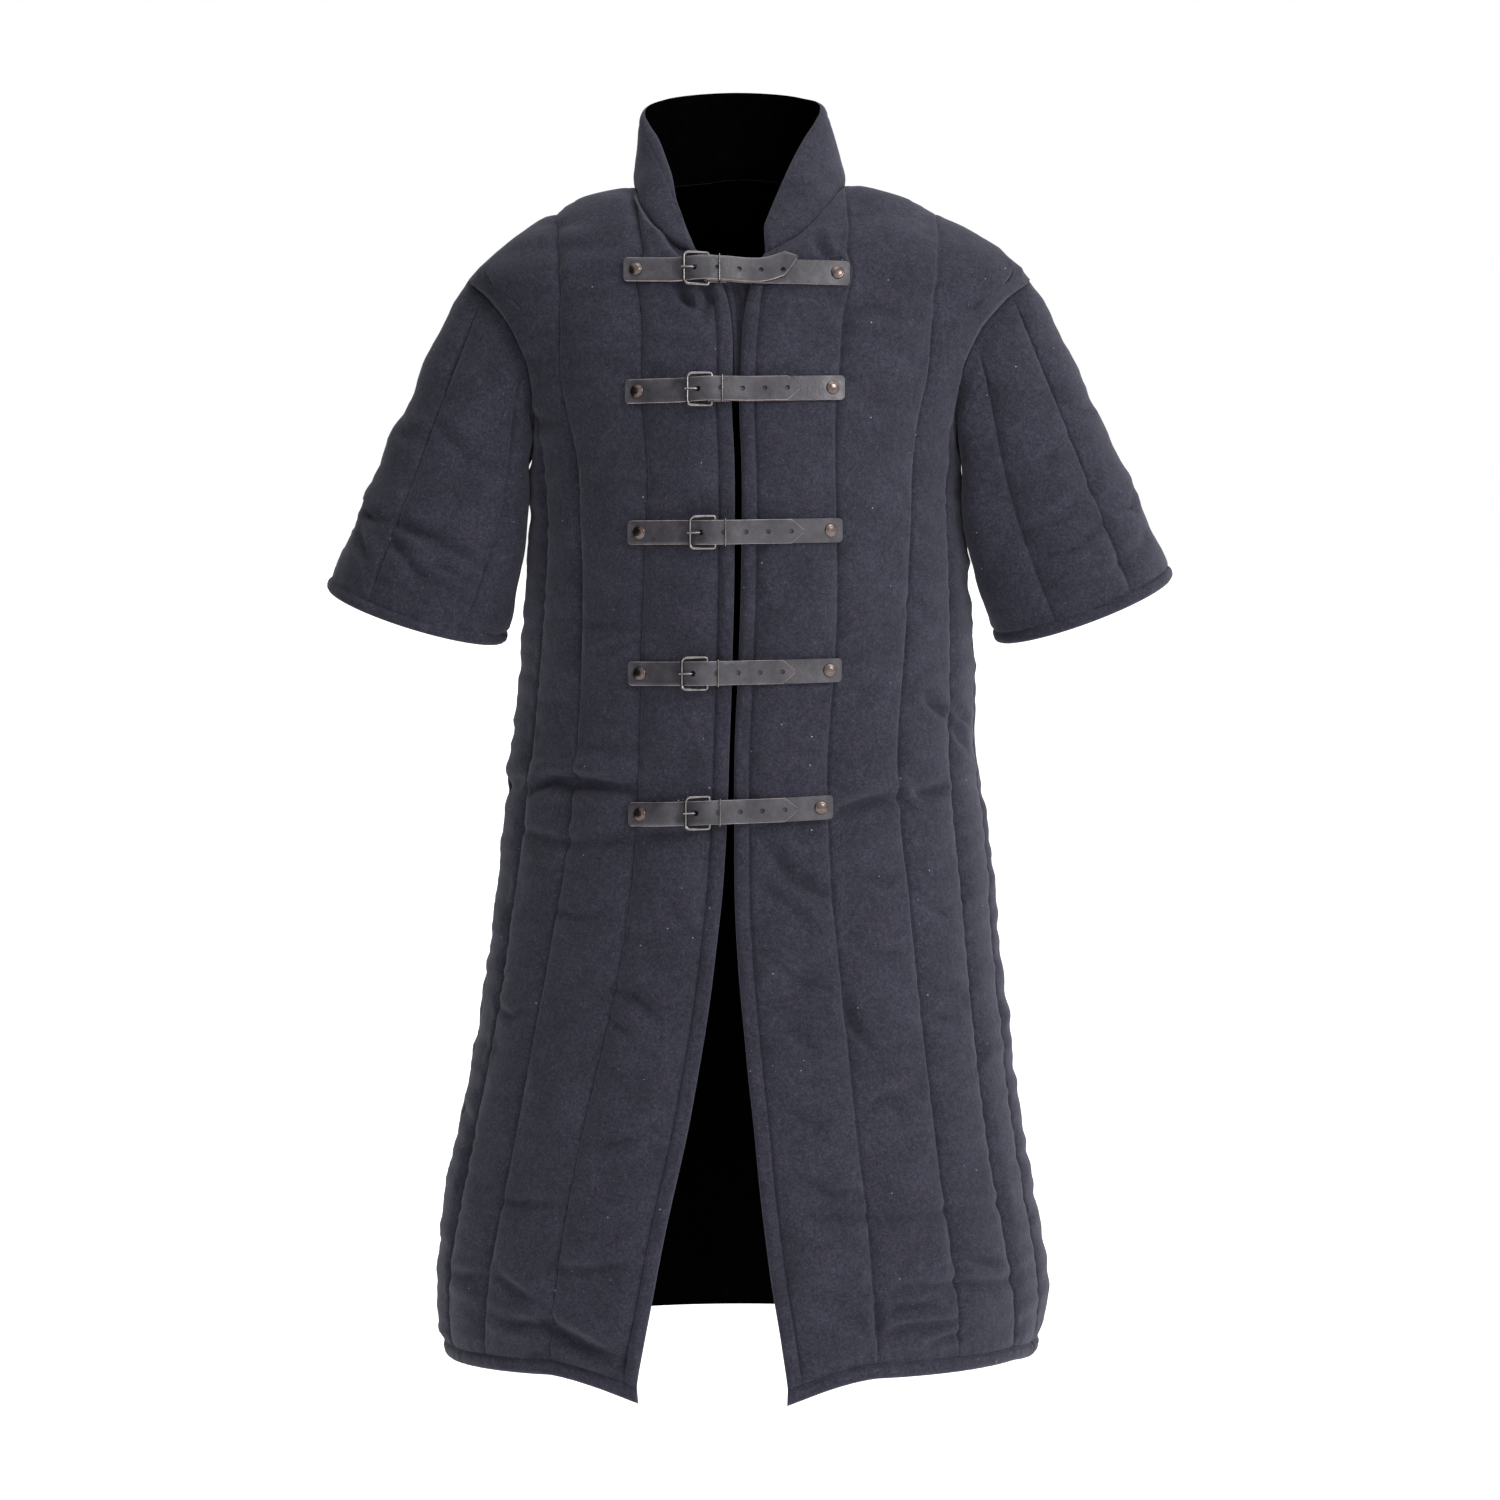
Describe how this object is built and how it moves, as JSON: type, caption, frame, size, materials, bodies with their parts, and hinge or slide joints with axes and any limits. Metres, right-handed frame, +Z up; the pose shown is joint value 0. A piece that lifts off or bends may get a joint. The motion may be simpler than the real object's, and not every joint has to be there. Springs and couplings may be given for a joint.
{
  "type": "gambeson",
  "caption": "Padded, vertically quilted coat with elbow-length sleeves, stand collar and a front slit closed by buckled leather straps, standing hollow as worn.",
  "frame": {"origin": "where the wearer's shoulders hold the coat: midway between the shoulder seams, level with the base of the neck", "axes": "+Z up the coat towards the collar; the front faces -Y; +X towards the wearer's left arm"},
  "size_m": [0.7344, 0.3819, 1.1098],
  "materials": {
    "quilted_cloth": "matt charcoal, faintly blue, fine-woven cloth over wadding",
    "strap_leather": "semi-gloss black-brown strap leather with paler cut edges",
    "buckle_metal": "dark nickel-plated, semi-polished",
    "rivet_metal": "dark nickel-plated domed cap"
  },
  "bodies": {
    "root": {"front_right": "quilted_cloth", "front_left": "quilted_cloth", "back": "quilted_cloth", "sleeve_right": "quilted_cloth", "sleeve_left": "quilted_cloth", "collar": "quilted_cloth", "tongue_1": "strap_leather", "buckle_strap_1": "strap_leather", "buckle_1": "buckle_metal", "prong_1": "buckle_metal", "keeper_1": "buckle_metal", "rivet_right_1": "rivet_metal", "rivet_left_1": "rivet_metal", "tongue_2": "strap_leather", "buckle_strap_2": "strap_leather", "buckle_2": "buckle_metal", "prong_2": "buckle_metal", "keeper_2": "buckle_metal", "rivet_right_2": "rivet_metal", "rivet_left_2": "rivet_metal", "tongue_3": "strap_leather", "buckle_strap_3": "strap_leather", "buckle_3": "buckle_metal", "prong_3": "buckle_metal", "keeper_3": "buckle_metal", "rivet_right_3": "rivet_metal", "rivet_left_3": "rivet_metal", "tongue_4": "strap_leather", "buckle_strap_4": "strap_leather", "buckle_4": "buckle_metal", "prong_4": "buckle_metal", "keeper_4": "buckle_metal", "rivet_right_4": "rivet_metal", "rivet_left_4": "rivet_metal", "tongue_5": "strap_leather", "buckle_strap_5": "strap_leather", "buckle_5": "buckle_metal", "prong_5": "buckle_metal", "keeper_5": "buckle_metal", "rivet_right_5": "rivet_metal", "rivet_left_5": "rivet_metal"}
  },
  "joints": []
}
